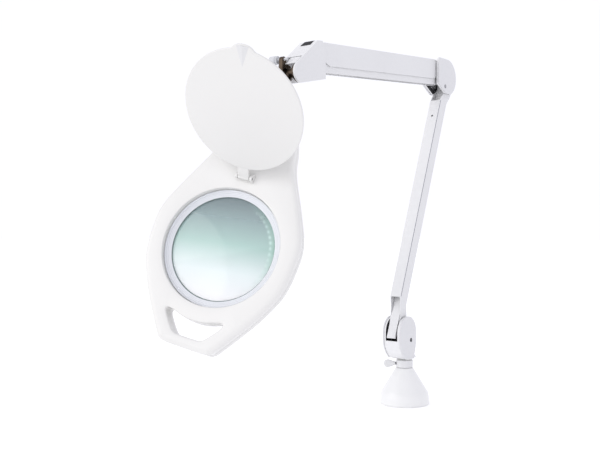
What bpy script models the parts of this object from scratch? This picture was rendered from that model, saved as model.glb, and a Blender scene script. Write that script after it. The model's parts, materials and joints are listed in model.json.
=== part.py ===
"""Magnifying lamp: sprung double arm, cone base and oval head with a hinged lens lid.

Metres, +Z up.  The origin is the centre of the base's underside, +X is the way the
arms reach and +Y is the side of the arms that carries the near covers.
"""

import bpy
import bmesh
import math
from mathutils import Matrix, Vector

MM = 0.001
GAP = 0.3

# Base, in millimetres
CONE_RADIUS = 34.0
CONE_RIM = 16.0
CONE_TOP = 50.0
NECK_RADIUS = 12.0
COLLAR_TOP = 62.5
PIN_RADIUS = 6.0
WING_AZIMUTH = -50.0

# Swivel yoke
YOKE_FRONT = 35.0
YOKE_REAR = -8.0
YOKE_LIP = 90.0
YOKE_TOP = 123.0
YOKE_SCREW = (5.5, 89.7)

# Layers across the width of the arms, as distances from the middle plane
INNER_OUT = 6.5
INNER_SHEET = 1.0
OUTER_OUT = 8.2
OUTER_SHEET = 1.2
FRAME_IN = 9.2
FRAME_OUT = 11.6
COVER_IN = 11.9
COVER_OUT = 14.0
STUB_IN = 6.9

# Lower arm
LOWER_LEAN = 21.6
LOWER_LENGTH = 372.0
LOWER_PIVOT = (18.9, 110.7)
LOWER_LINK_STEP = (8.5, -7.0)
LOWER_FRONT = 20.0
LOWER_REAR = 3.0
LOWER_LINK_WEB = 10.2
LOWER_LINK_REAR = -2.0
WEB_LOW = 35.0
WEB_HIGH = 32.0
LOWER_SPRING = (60.0, 250.0)

# Upper arm
UPPER_FALL = 4.4
UPPER_LENGTH = 302.0
UPPER_PIVOT = (-88.0, 473.9)
UPPER_LINK_STEP = (-4.5, -13.7)
UPPER_TOP = 18.2
UPPER_FLANGE = -9.8
UPPER_LINK_WEB = -3.0
UPPER_LINK_LOW = -18.2
UPPER_SPRING = (50.0, 220.0)

# Springs, inside the inner channels
SPRING_RADIUS = 3.6
SPRING_WIRE = 0.6
SPRING_HOOK = 9.0
BAR_RADIUS = 1.4

# Elbow
ELBOW_CENTRE = (-99.8, 468.0)
ELBOW_RADIUS = 26.0
ELBOW_FRONT = -73.7
ELBOW_SCREW = (-93.0, 453.6)

# Shoulder and neck
NOSE = (252.5, 426.5)
NOSE_RADIUS = 12.5
SHOULDER_OUT = 13.5
SHOULDER_IN = 11.0
STEM_PITCH = 51.4
STEM_SIDE = -3.7
STEM_LENGTH = 25.0
NECK_TURN = 23.6
HEAD_TILT = 18.3

# Head, measured from the lens centre
HEAD_REACH = 199.0
HEAD_RISE = 2.3
FACE = 9.0
BACK = -13.0
SPLIT = -2.0
WALL = 2.2
RECESS_RADIUS = 68.5
SEAT_RADIUS = 70.2
LENS_RADIUS = 62.5
LED_COUNT = 24
LID_AXIS = (82.0, 13.6)
LID_RADIUS = 70.0
LID_OPEN = 131.0
CASE_SCREWS = [(-30.0, 140.0), (30.0, 140.0), (-66.0, -53.0), (66.0, -53.0)]

# Half outlines of the head and of its handle slot, from the bottom middle round to the neck
HEAD_SIDE = [(22.5, -116.4), (31.5, -114.4), (38.0, -107.5), (59.5, -77.0), (72.5, -55.5),
             (84.0, -30.0), (88.0, 0.0), (86.5, 28.0), (73.0, 60.0), (51.0, 104.0),
             (44.0, 130.0), (34.0, 156.0), (23.0, 172.0), (9.0, 180.0)]
SLOT_SIDE = [(9.0, -105.0), (16.0, -104.2), (22.0, -99.8), (33.2, -86.0), (34.0, -80.6),
             (27.0, -81.0), (10.0, -85.8)]


def clear_scene():
    for item in list(bpy.data.objects):
        bpy.data.objects.remove(item, do_unlink=True)


def collection(name):
    made = bpy.data.collections.new(name)
    bpy.context.scene.collection.children.link(made)
    return made


clear_scene()
PARTS = collection("magnifying_lamp")
CUTTERS = collection("cutters")


def paint(name, colour, roughness, metallic=0.0, alpha=1.0, transmission=0.0):
    made = bpy.data.materials.new(name)
    made.use_nodes = True
    shader = made.node_tree.nodes["Principled BSDF"]
    shader.inputs["Base Color"].default_value = (*colour, 1.0)
    shader.inputs["Roughness"].default_value = roughness
    shader.inputs["Metallic"].default_value = metallic
    shader.inputs["Alpha"].default_value = alpha
    shader.inputs["Transmission Weight"].default_value = transmission
    return made


def white(name, shade=0.84, roughness=0.32):
    return paint(name, (shade, shade, shade * 1.01), roughness)


def steel(name, shade=0.62, roughness=0.3):
    return paint(name, (shade, shade, shade), roughness, metallic=1.0)


# ---------------------------------------------------------------- mesh helpers

def place(mesh_object, parent=None, location=(0, 0, 0), rotation=(0, 0, 0)):
    """Put an object in millimetres and degrees under a parent."""
    mesh_object.parent = parent
    mesh_object.location = [value * MM for value in location]
    mesh_object.rotation_euler = [math.radians(value) for value in rotation]
    return mesh_object


def guide(name, parent, location, rotation=(0, 0, 0)):
    empty = bpy.data.objects.new(name, None)
    PARTS.objects.link(empty)
    return place(empty, parent, location, rotation)


def from_bmesh(name, mesh_data, group):
    mesh = bpy.data.meshes.new(name)
    mesh_data.to_mesh(mesh)
    mesh_data.free()
    made = bpy.data.objects.new(name, mesh)
    group.objects.link(made)
    return made


def face_out(work):
    """Turn every face outwards."""
    bmesh.ops.recalc_face_normals(work, faces=work.faces)
    if work.calc_volume(signed=True) < 0:
        bmesh.ops.reverse_faces(work, faces=work.faces)


def slab(name, loops, low, high, group=None):
    """A flat outline with holes, in millimetres, from local z low to high."""
    curve = bpy.data.curves.new(name, "CURVE")
    curve.dimensions = "2D"
    curve.fill_mode = "BOTH"
    curve.extrude = (high - low) * MM / 2
    for loop in loops:
        spline = curve.splines.new("POLY")
        spline.points.add(len(loop) - 1)
        spline.use_cyclic_u = True
        for point, (x, y) in zip(spline.points, loop):
            point.co = (x * MM, y * MM, 0.0, 1.0)
    source = bpy.data.objects.new(name, curve)
    bpy.context.scene.collection.objects.link(source)
    bpy.context.view_layer.update()
    evaluated = source.evaluated_get(bpy.context.evaluated_depsgraph_get())
    mesh = bpy.data.meshes.new_from_object(evaluated)
    bpy.data.objects.remove(source)
    work = bmesh.new()
    work.from_mesh(mesh)
    bpy.data.meshes.remove(mesh)
    bmesh.ops.remove_doubles(work, verts=work.verts, dist=0.00001)
    bmesh.ops.translate(work, verts=work.verts, vec=(0, 0, (low + high) * MM / 2))
    face_out(work)
    return from_bmesh(name, work, group or PARTS)


def side_slab(name, loops, low, high, group=None):
    """An outline in the XZ plane, from y low to y high."""
    made = slab(name, loops, -high, -low, group)
    made.data.transform(Matrix.Rotation(math.radians(90), 4, "X"))
    return made


def block(name, low, high, group=None):
    work = bmesh.new()
    bmesh.ops.create_cube(work, size=1.0)
    size = [(b - a) * MM for a, b in zip(low, high)]
    middle = [(a + b) * MM / 2 for a, b in zip(low, high)]
    bmesh.ops.scale(work, vec=size, verts=work.verts)
    bmesh.ops.translate(work, vec=middle, verts=work.verts)
    return from_bmesh(name, work, group or PARTS)


def rod(name, start, end, radius, segments=24, group=None, end_radius=None):
    """A cylinder or cone between two points, in millimetres."""
    start = Vector(start)
    end = Vector(end)
    work = bmesh.new()
    bmesh.ops.create_cone(
        work, cap_ends=True, segments=segments, radius1=radius * MM,
        radius2=(radius if end_radius is None else end_radius) * MM,
        depth=(end - start).length * MM)
    turn = (end - start).to_track_quat("Z", "Y").to_matrix().to_4x4()
    move = Matrix.Translation((start + end) * MM / 2)
    bmesh.ops.transform(work, matrix=move @ turn, verts=work.verts)
    return from_bmesh(name, work, group or PARTS)


def turned(name, profile, segments=64, group=None):
    """A closed profile of (radius, height) turned about Z; an edge on the axis is dropped."""
    work = bmesh.new()
    ring = [work.verts.new((r * MM, 0, z * MM)) for r, z in profile]
    edges = [work.edges.new((a, b)) for a, b in zip(ring, ring[1:] + ring[:1])
             if a.co.x > 0 or b.co.x > 0]
    bmesh.ops.spin(work, geom=ring + edges, cent=(0, 0, 0), axis=(0, 0, 1),
                   angle=2 * math.pi, steps=segments, use_duplicate=False)
    bmesh.ops.remove_doubles(work, verts=work.verts, dist=0.00001)
    bmesh.ops.dissolve_degenerate(work, edges=work.edges, dist=0.000005)
    face_out(work)
    return from_bmesh(name, work, group or PARTS)


def cut(target, tool, operation="DIFFERENCE"):
    """Apply an exact Boolean and drop the tool."""
    bpy.context.view_layer.update()
    step = target.modifiers.new(operation.lower(), "BOOLEAN")
    step.operation = operation
    step.solver = "EXACT"
    step.object = tool
    bpy.context.view_layer.update()
    evaluated = target.evaluated_get(bpy.context.evaluated_depsgraph_get())
    mesh = bpy.data.meshes.new_from_object(evaluated)
    target.modifiers.clear()
    target.data = mesh
    bpy.data.objects.remove(tool)
    work = bmesh.new()
    work.from_mesh(mesh)
    bmesh.ops.remove_doubles(work, verts=work.verts, dist=0.00002)
    flat = [face for face in work.faces if len(face.verts) > 3]
    bmesh.ops.triangulate(work, faces=flat)
    bmesh.ops.dissolve_limit(work, angle_limit=0.0005, verts=work.verts, edges=work.edges)
    work.to_mesh(mesh)
    work.free()
    return target


def join(target, tool):
    return cut(target, tool, "UNION")


def finish(made, material, parent=None, angle=32.0):
    made.data.materials.clear()
    made.data.materials.append(material)
    made.data.shade_smooth()
    made.data.set_sharp_from_angle(angle=math.radians(angle))
    if parent is not None:
        made.parent = parent
    return made


def arc(centre, radius, start, end, count):
    """Points on an arc, angles in degrees, both ends included."""
    points = []
    for index in range(count + 1):
        angle = math.radians(start + (end - start) * index / count)
        points.append((centre[0] + radius * math.cos(angle),
                       centre[1] + radius * math.sin(angle)))
    return points


def circle(centre, radius, count=24):
    return arc(centre, radius, 0.0, 360.0, count)[:-1]


def smooth_loop(points, steps=5):
    """A closed Catmull-Rom curve through hand-chosen points."""
    made = []
    total = len(points)
    for index in range(total):
        p0, p1, p2, p3 = (Vector(points[(index + k - 1) % total]) for k in range(4))
        for step in range(steps):
            t = step / steps
            made.append(tuple(0.5 * (2 * p1 + (p2 - p0) * t
                                     + (2 * p0 - 5 * p1 + 4 * p2 - p3) * t * t
                                     + (3 * p1 - 3 * p2 + p3 - p0) * t ** 3)))
    return made


def inset(points, distance):
    """Move every point of a counter-clockwise loop inwards along its normal."""
    made = []
    total = len(points)
    for index in range(total):
        before = Vector(points[index - 1])
        here = Vector(points[index])
        after = Vector(points[(index + 1) % total])
        along = ((here - before).normalized() + (after - here).normalized()).normalized()
        made.append((here.x - along.y * distance, here.y + along.x * distance))
    return made


def along(start, direction, distance):
    return (start[0] + direction[0] * distance, start[1] + direction[1] * distance)


LEAN = math.radians(LOWER_LEAN)
FALL = math.radians(UPPER_FALL)
LOWER_WAY = (-math.sin(LEAN), math.cos(LEAN))
UPPER_WAY = (math.cos(FALL), -math.sin(FALL))
LOWER_LINK_PIVOT = tuple(a + b for a, b in zip(LOWER_PIVOT, LOWER_LINK_STEP))
LOWER_END = along(LOWER_PIVOT, LOWER_WAY, LOWER_LENGTH)
LOWER_LINK_END = along(LOWER_LINK_PIVOT, LOWER_WAY, LOWER_LENGTH)
UPPER_LINK_PIVOT = tuple(a + b for a, b in zip(UPPER_PIVOT, UPPER_LINK_STEP))
UPPER_END = along(UPPER_PIVOT, UPPER_WAY, UPPER_LENGTH)
UPPER_LINK_END = along(UPPER_LINK_PIVOT, UPPER_WAY, UPPER_LENGTH)
SPRING_STEP = SPRING_WIRE + BAR_RADIUS + GAP
LOWER_LINK_NORMAL = LOWER_LINK_STEP[0] * math.cos(LEAN) + LOWER_LINK_STEP[1] * math.sin(LEAN)
LOWER_SPRING_LINE = (LOWER_LINK_WEB + LOWER_LINK_REAR) / 2 - LOWER_LINK_NORMAL - 0.6
UPPER_LINK_NORMAL = UPPER_LINK_STEP[0] * math.sin(FALL) + UPPER_LINK_STEP[1] * math.cos(FALL)
UPPER_SPRING_LINE = (UPPER_LINK_WEB + UPPER_LINK_LOW) / 2 - UPPER_LINK_NORMAL


# ------------------------------------------------------------------------ base

def base_flange():
    """Steel foot plate with three screw holes and the socket for the swivel pin."""
    plate = turned("base_flange", [
        (0, 0), (31.5, 0), (31.5, 3.0), (12.0, 3.2), (9.2, 6.0), (9.2, 49.0),
        (PIN_RADIUS + GAP, 49.0), (PIN_RADIUS + GAP, 4.0), (0, 4.0)], 40)
    for index in range(3):
        angle = math.radians(90 + 120 * index)
        x = 22.0 * math.cos(angle)
        y = 22.0 * math.sin(angle)
        cut(plate, rod("hole", (x, y, -2), (x, y, 8), 2.6, 16, CUTTERS))
    return finish(plate, steel("flange_steel", 0.5, 0.42))


def cone_cover():
    shell = turned("cone_cover", [
        (CONE_RADIUS - 1.6, 0), (CONE_RADIUS - 0.2, 0), (CONE_RADIUS, 0.6),
        (CONE_RADIUS - 0.3, CONE_RIM * 0.6), (CONE_RADIUS - 1.4, CONE_RIM),
        (CONE_RADIUS - 4.2, CONE_RIM + 4.5), (NECK_RADIUS + 1.0, CONE_TOP - 2.0),
        (NECK_RADIUS, CONE_TOP - 0.6), (NECK_RADIUS - 0.6, CONE_TOP),
        (9.6, CONE_TOP), (9.6, CONE_TOP - 2.0), (NECK_RADIUS - 1.2, CONE_TOP - 3.0),
        (CONE_RADIUS - 6.2, CONE_RIM + 3.6), (CONE_RADIUS - 3.2, CONE_RIM - 0.6),
        (CONE_RADIUS - 2.0, CONE_RIM * 0.5)], 48)
    return finish(shell, white("cone_white"))


def clamp_collar():
    ring = turned("clamp_collar", [
        (PIN_RADIUS + GAP, CONE_TOP + GAP), (NECK_RADIUS - 1.0, CONE_TOP + GAP),
        (NECK_RADIUS - 0.3, CONE_TOP + 1.0), (NECK_RADIUS - 0.3, COLLAR_TOP - 2.5),
        (NECK_RADIUS - 1.0, COLLAR_TOP - 1.8), (PIN_RADIUS + GAP, COLLAR_TOP - 1.8)], 40)
    way = wing_way()
    mid = (CONE_TOP + COLLAR_TOP) / 2 - 0.6
    hole = rod("hole", (0, 0, mid), (way[0] * 20, way[1] * 20, mid), 2.3, 16, CUTTERS)
    return finish(cut(ring, hole), white("collar_white"))


def swivel_washer():
    ring = turned("swivel_washer", [
        (PIN_RADIUS + GAP, COLLAR_TOP - 1.5), (10.5, COLLAR_TOP - 1.5),
        (10.5, COLLAR_TOP - 0.6), (PIN_RADIUS + GAP, COLLAR_TOP - 0.6)], 32)
    return finish(ring, white("washer_nylon", 0.75, 0.5))


def wing_way():
    angle = math.radians(WING_AZIMUTH)
    return (math.cos(angle), math.sin(angle))


def wing_screw():
    """Threaded shank, boss and two flat wings, modelled along +X and then turned."""
    shank = rod("wing_screw", (PIN_RADIUS + 0.4, 0, 0), (14.0, 0, 0), 2.0, 16)
    join(shank, rod("boss", (13.0, 0, 0), (18.5, 0, 0), 4.0, 20, CUTTERS, 3.2))
    wing = [(16.0, -3.0), (20.0, -5.0), (26.0, -5.6), (29.0, -4.0), (29.0, -1.6),
            (25.0, -0.9), (25.0, 0.9), (29.0, 1.6), (29.0, 4.0), (26.0, 5.6),
            (20.0, 5.0), (16.0, 3.0)]
    join(shank, side_slab("wings", [wing], -1.3, 1.3, CUTTERS))
    mid = (CONE_TOP + COLLAR_TOP) / 2 - 0.6
    place(shank, None, (0, 0, mid), (0, 0, WING_AZIMUTH))
    return finish(shank, white("wing_white", 0.86, 0.35))


# ------------------------------------------------------------------------ yoke

def yoke_outline(grow=0.0):
    """Side outline of the cup: flat front, round top and rear, tapering to the neck."""
    front = YOKE_FRONT + grow
    rear = YOKE_REAR - grow
    top = YOKE_TOP + grow
    radius = (front - rear) / 2
    middle = (front + rear) / 2
    points = [(10.0 + grow, COLLAR_TOP), (21.0 + grow, 65.5), (27.5 + grow, 72.0),
              (32.5 + grow, 80.0), (front, 90.0), (front, top - radius)]
    points += arc((middle, top - radius), radius, 0, 180, 16)[1:]
    points += [(rear, 84.0), (rear + 2.0, 76.0), (rear + 4.5, 69.0),
               (-10.0 + 1.5, 65.0), (-8.0 - grow, COLLAR_TOP)]
    return points


def yoke_housing():
    """Cast cup: two cheeks and a closed lower front, open on top for the arm."""
    cup = side_slab("yoke_housing", [yoke_outline(-0.8)], -FRAME_OUT, FRAME_OUT)
    room = [(YOKE_FRONT + 5, YOKE_LIP), (YOKE_FRONT + 5, YOKE_TOP + 5),
            (YOKE_REAR - 5, YOKE_TOP + 5), (YOKE_REAR - 5, 113.0), (YOKE_REAR + 2.0, 107.0),
            (YOKE_REAR + 2.4, 84.0), (YOKE_REAR + 6.0, 74.0), (20.0, 74.0),
            (YOKE_FRONT - 5.0, 83.0), (YOKE_FRONT - 3.0, YOKE_LIP)]
    cut(cup, side_slab("room", [room], -FRAME_IN, FRAME_IN, CUTTERS))
    for pivot, radius in ((LOWER_PIVOT, 2.3), (LOWER_LINK_PIVOT, 2.0)):
        cut(cup, rod("bore", (pivot[0], -20, pivot[1]), (pivot[0], 20, pivot[1]),
                     radius, 16, CUTTERS))
    cut(cup, rod("socket", (0, 0, 40), (0, 0, 70.5), PIN_RADIUS + GAP, 24, CUTTERS))
    cut(cup, rod("inlet", (-20, 0, 92), (0, 0, 92), 4.3, 16, CUTTERS))
    for side in (1, -1):
        cut(cup, rod("tap", (YOKE_SCREW[0], side * 9.0, YOKE_SCREW[1]),
                      (YOKE_SCREW[0], side * 20, YOKE_SCREW[1]), 1.5, 12, CUTTERS))
    return finish(cup, white("yoke_white"))


def yoke_cover(name, side):
    """Outer cheek cover with one countersunk fixing hole."""
    low, high = sorted((side * COVER_IN, side * COVER_OUT))
    loops = [[(x, z) for x, z in yoke_outline() if z > COLLAR_TOP + 1]]
    plate = side_slab(name, loops, low, high)
    screw_sink(plate, YOKE_SCREW, side)
    return finish(plate, white(name + "_white"))


def screw_sink(plate, point, side):
    """Clearance hole and countersink in a cheek cover."""
    x, z = point
    cut(plate, rod("hole", (x, 0, z), (x, side * 20, z), 1.8, 16, CUTTERS))
    cut(plate, rod("sink", (x, side * (COVER_OUT - 1.0), z), (x, side * (COVER_OUT + 2), z),
                   3.0, 20, CUTTERS))


def cover_screw(name, point, side):
    """Countersunk screw: its head in the cover's sink and its shank in the frame."""
    x, z = point
    screw = rod(name, (x, side * 9.8, z), (x, side * 13.3, z), 1.2, 12)
    join(screw, rod("head", (x, side * 13.2, z), (x, side * 13.9, z), 2.4, 16, CUTTERS))
    return finish(screw, steel(name + "_steel", 0.35, 0.35))


def swivel_pin():
    pin = rod("swivel_pin", (0, 0, 5.0), (0, 0, 70.0), PIN_RADIUS, 24)
    return finish(pin, steel("pin_steel", 0.6, 0.25))


def cord_gland():
    """Rubber inlet bush in the rear wall of the yoke."""
    ring = turned("cord_gland", [
        (2.2, -4.5), (6.0, -4.5), (6.0, -2.9), (3.9, -2.7), (3.9, 3.2), (2.2, 3.2)], 24)
    ring.data.transform(Matrix.Rotation(math.radians(90), 4, "Y"))
    place(ring, None, (YOKE_REAR - 0.3 + 1.4, 0, 92))
    return finish(ring, paint("gland_rubber", (0.05, 0.05, 0.05), 0.7))


def stub_pin(name, point, side, reach=FRAME_OUT):
    """Short pin from the frame plate into the outer channel's lug."""
    x, z = point
    pin = rod(name, (x, side * STUB_IN, z), (x, side * reach, z), 2.0, 16)
    return finish(pin, steel(name + "_steel", 0.55, 0.25))


def through_pin(name, point, reach=FRAME_OUT):
    """Pin across both frame plates that the inner channel turns on."""
    x, z = point
    pin = rod(name, (x, -reach, z), (x, reach, z), 1.7, 16)
    return finish(pin, steel(name + "_steel", 0.55, 0.25))


def pivot_pins(place_name, outer_points, inner_points, reach=FRAME_OUT):
    """Pins of one frame: a stub each side per outer pivot, a through pin per inner one."""
    for label, point in outer_points:
        stub_pin(f"{place_name}_{label}_stub_near", point, 1, reach)
        stub_pin(f"{place_name}_{label}_stub_far", point, -1, reach)
    for label, point in inner_points:
        through_pin(f"{place_name}_{label}_link_pin", point, reach)


# ------------------------------------------------------------------------ arms

def channel(name, outline, pivots, rooms, width, sheet):
    """A folded channel: two side flanges of one outline and whatever web the rooms leave."""
    body = side_slab(name, [outline], -width, width)
    half = width - sheet
    for low, high in rooms:
        cut(body, block("room", (low[0], -half, low[1]), (high[0], half, high[1]), CUTTERS))
    for (x, z), radius in pivots:
        cut(body, rod("bore", (x, -20, z), (x, 20, z), radius, 16, CUTTERS))
    return body


def spring_bar(body, x, z):
    """Cross bar pressed into a channel for one hook of its spring."""
    half = INNER_OUT - 0.2
    join(body, rod("bar", (x, -half, z), (x, half, z), BAR_RADIUS, 12, CUTTERS))


def lower_outer_channel(parent):
    """Front channel of the lower arm: its lugs sweep back to the yoke and elbow pivots."""
    end = LOWER_LENGTH
    outline = arc((0, 0), 8.0, -180, 0, 12)
    outline += [(10.0, 12.0), (14.5, 24.0), (LOWER_FRONT, WEB_LOW + 1.0),
                (LOWER_FRONT, end - WEB_HIGH - 1.0), (15.5, end - 20.0), (10.0, end - 12.0)]
    outline += arc((0, end), 8.0, 0, 180, 12)
    outline += [(-5.0, end - 16.0), (LOWER_REAR, end - 36.0), (LOWER_REAR, 36.0), (-5.0, 16.0)]
    skin = LOWER_FRONT - OUTER_SHEET
    rooms = [((-60.0, -60.0), (skin, end + 60.0)), ((skin - 1.0, -60.0), (60.0, WEB_LOW)),
             ((skin - 1.0, end - WEB_HIGH), (60.0, end + 60.0))]
    body = channel("lower_outer_channel", outline, [((0, 0), 2.3), ((0, end), 2.3)], rooms,
                   OUTER_OUT, OUTER_SHEET)
    sweep = math.hypot(*LOWER_LINK_STEP)
    notch = arc((0, end), sweep + 2.6, -94, 20, 12) + arc((0, end), sweep - 2.4, 20, -94, 10)
    cut(body, side_slab("notch", [notch], -20, 20, CUTTERS))
    cut(body, rod("rivet", (10, 0, end - 58.0), (30, 0, end - 58.0), 1.6, 12, CUTTERS))
    return finish(body, white("lower_outer_white"), parent)


def lower_inner_channel(parent):
    """Link nested in the front channel; its web runs down behind the lip of the yoke."""
    end = LOWER_LENGTH
    web = LOWER_LINK_WEB - LOWER_LINK_NORMAL
    rear = LOWER_LINK_REAR - LOWER_LINK_NORMAL
    outline = [(web, -12.0), (web, end + 4.0)]
    outline += arc((-1.0, end), 5.5, 45, 180, 8)
    outline += [(rear, end - 12.0), (rear, 12.0)]
    outline += arc((-1.0, 0.0), 5.5, 180, 290, 8)
    outline += [(web - 2.4, -12.0)]
    rooms = [((-60.0, -60.0), (web - INNER_SHEET, end + 60.0))]
    body = channel("lower_inner_channel", outline, [((0, 0), 2.0), ((0, end), 2.6)], rooms,
                   INNER_OUT, INNER_SHEET)
    spring_bar(body, LOWER_SPRING_LINE, LOWER_SPRING[0] - SPRING_STEP)
    spring_bar(body, LOWER_SPRING_LINE, LOWER_SPRING[1] + SPRING_STEP)
    return finish(body, white("lower_inner_white"), parent)


def upper_outer_channel(parent):
    """Top channel of the upper arm with a lug at each end."""
    end = UPPER_LENGTH
    outline = [(-6.0, 8.0)] + arc((0, 0), 7.0, 170, 300, 10)
    outline += [(9.0, -4.0), (18.0, UPPER_FLANGE), (end - 24.0, UPPER_FLANGE), (end - 10.0, -3.4)]
    outline += arc((end, 0), 7.0, 240, 370, 10)
    outline += [(end + 4.0, 9.0), (end - 14.0, UPPER_TOP), (14.0, UPPER_TOP)]
    rooms = [((-60.0, -60.0), (end + 60.0, UPPER_TOP - OUTER_SHEET))]
    body = channel("upper_outer_channel", outline, [((0, 0), 2.3), ((end, 0), 2.3)], rooms,
                   OUTER_OUT, OUTER_SHEET)
    return finish(body, white("upper_outer_white"), parent)


def upper_inner_channel(parent):
    """Link nested in the top channel, open below, with the spring inside."""
    end = UPPER_LENGTH
    low = UPPER_LINK_LOW - UPPER_LINK_NORMAL
    web = UPPER_LINK_WEB - UPPER_LINK_NORMAL
    outline = arc((0, 0), -low, 180, 270, 8) + arc((end, 0), -low, 270, 360, 8)
    outline += [(end - 6.0, web), (6.0, web)]
    rooms = [((-60.0, -60.0), (end + 60.0, web - INNER_SHEET))]
    body = channel("upper_inner_channel", outline, [((0, 0), 2.0), ((end, 0), 2.6)], rooms,
                   INNER_OUT, INNER_SHEET)
    spring_bar(body, UPPER_SPRING[0] - SPRING_STEP, UPPER_SPRING_LINE)
    spring_bar(body, UPPER_SPRING[1] + SPRING_STEP, UPPER_SPRING_LINE)
    return finish(body, white("upper_inner_white"), parent)


def spring(name, parent, start, end, turns):
    """Extension spring with a straight hook at each end, on the middle plane."""
    start = Vector((start[0], 0.0, start[1]))
    end = Vector((end[0], 0.0, end[1]))
    axis = (end - start).normalized()
    across = axis.cross(Vector((0, 1, 0))).normalized()
    other = Vector((0, 1, 0))
    length = (end - start).length
    points = [start]
    steps = 8
    for index in range(turns * steps + 1):
        angle = 2 * math.pi * index / steps
        reach = SPRING_HOOK + (length - 2 * SPRING_HOOK) * index / (turns * steps)
        points.append(start + axis * reach
                      + (across * math.cos(angle) + other * math.sin(angle)) * SPRING_RADIUS)
    points.append(end)
    curve = bpy.data.curves.new(name, "CURVE")
    curve.dimensions = "3D"
    curve.bevel_depth = SPRING_WIRE * MM
    curve.bevel_resolution = 0
    curve.use_fill_caps = True
    spline = curve.splines.new("POLY")
    spline.points.add(len(points) - 1)
    for point, place_at in zip(spline.points, points):
        point.co = (*(place_at * MM), 1.0)
    source = bpy.data.objects.new(name, curve)
    bpy.context.scene.collection.objects.link(source)
    bpy.context.view_layer.update()
    evaluated = source.evaluated_get(bpy.context.evaluated_depsgraph_get())
    mesh = bpy.data.meshes.new_from_object(evaluated)
    bpy.data.objects.remove(source)
    work = bmesh.new()
    work.from_mesh(mesh)
    bpy.data.meshes.remove(mesh)
    bmesh.ops.remove_doubles(work, verts=work.verts, dist=0.00001)
    face_out(work)
    made = from_bmesh(name, work, PARTS)
    return finish(made, steel(name + "_steel", 0.5, 0.3), parent, 60)


# ----------------------------------------------------------------------- elbow

def elbow_outline(grow=0.0):
    """Flat front and top, round at the back, with the lower front corner cut away."""
    x, z = ELBOW_CENTRE
    radius = ELBOW_RADIUS + grow
    points = [(ELBOW_FRONT + grow, z - 12.0), (ELBOW_FRONT + grow, z + radius - 2.0),
              (ELBOW_FRONT + grow - 2.0, z + radius)]
    points += arc((x, z), radius, 90, 250, 18)
    points += [(x + 4.0, z - radius + 1.5)]
    return points


def elbow_frame():
    """Steel clevis: two plates tied by a wall around the back."""
    frame = side_slab("elbow_frame", [elbow_outline(-1.0)], -FRAME_OUT, FRAME_OUT)
    x, z = ELBOW_CENTRE
    room = arc((x, z), ELBOW_RADIUS - 3.0, 90, 160, 8)
    room += [(x - ELBOW_RADIUS - 9.0, z + 6.0), (x - ELBOW_RADIUS - 9.0, z - 60.0),
             (x + 60.0, z - 60.0), (x + 60.0, z + 60.0), (x, z + 60.0)]
    cut(frame, side_slab("room", [room], -FRAME_IN, FRAME_IN, CUTTERS))
    for pivot, radius in ((UPPER_PIVOT, 2.3), (LOWER_END, 2.3), (UPPER_LINK_PIVOT, 2.0),
                          (LOWER_LINK_END, 2.0)):
        cut(frame, rod("bore", (pivot[0], -20, pivot[1]), (pivot[0], 20, pivot[1]),
                       radius, 16, CUTTERS))
    for side in (1, -1):
        cut(frame, rod("tap", (ELBOW_SCREW[0], side * 9.0, ELBOW_SCREW[1]),
                       (ELBOW_SCREW[0], side * 20, ELBOW_SCREW[1]), 1.5, 12, CUTTERS))
    return finish(frame, white("elbow_frame_white", 0.8, 0.38))


def elbow_cover(name, side):
    low, high = sorted((side * COVER_IN, side * COVER_OUT))
    plate = side_slab(name, [elbow_outline()], low, high)
    screw_sink(plate, ELBOW_SCREW, side)
    return finish(plate, white(name + "_white"))


# -------------------------------------------------------------------- shoulder

def shoulder_outline():
    """Tall at the arm, sloping down to the round nose."""
    points = [(204.5, 424.5), (252.0, 414.0)]
    points += arc(NOSE, NOSE_RADIUS, -88, 50, 14)
    points += [(220.0, 468.6), (211.0, 469.4), (204.5, 461.0)]
    return points


def shoulder_housing():
    """Two side plates joined by the sloping front wall, which has a slot near its top."""
    body = side_slab("shoulder_housing", [shoulder_outline()], -SHOULDER_OUT, SHOULDER_OUT)
    room = [(190.0, 400.0), (300.0, 400.0), (300.0, 436.0), (262.0, 436.0), (252.0, 443.4),
            (219.0, 466.2), (213.0, 466.6), (213.0, 490.0), (190.0, 490.0)]
    cut(body, side_slab("room", [room], -SHOULDER_IN, SHOULDER_IN, CUTTERS))
    cut(body, block("slot", (216.0, -7.5, 450.0), (222.5, 7.5, 480.0), CUTTERS))
    for pivot, radius in ((UPPER_END, 2.3), (UPPER_LINK_END, 2.0), (NOSE, 3.3)):
        cut(body, rod("bore", (pivot[0], -SHOULDER_OUT + 1.0, pivot[1]),
                      (pivot[0], SHOULDER_OUT - 1.0, pivot[1]), radius, 16, CUTTERS))
    for pivot in (UPPER_END, NOSE):
        cut(body, rod("drill", (pivot[0], -20.0, pivot[1]), (pivot[0], 0.0, pivot[1]),
                      3.3 if pivot is NOSE else 2.3, 16, CUTTERS))
    return finish(body, white("shoulder_white"))


def nose_pin():
    pin = rod("nose_pin", (NOSE[0], -SHOULDER_OUT - 1.2, NOSE[1]),
              (NOSE[0], SHOULDER_OUT - 1.6, NOSE[1]), 3.0, 20)
    return finish(pin, steel("nose_pin_steel", 0.5, 0.3))


# -------------------------------------------------------------- knuckle and neck

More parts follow.
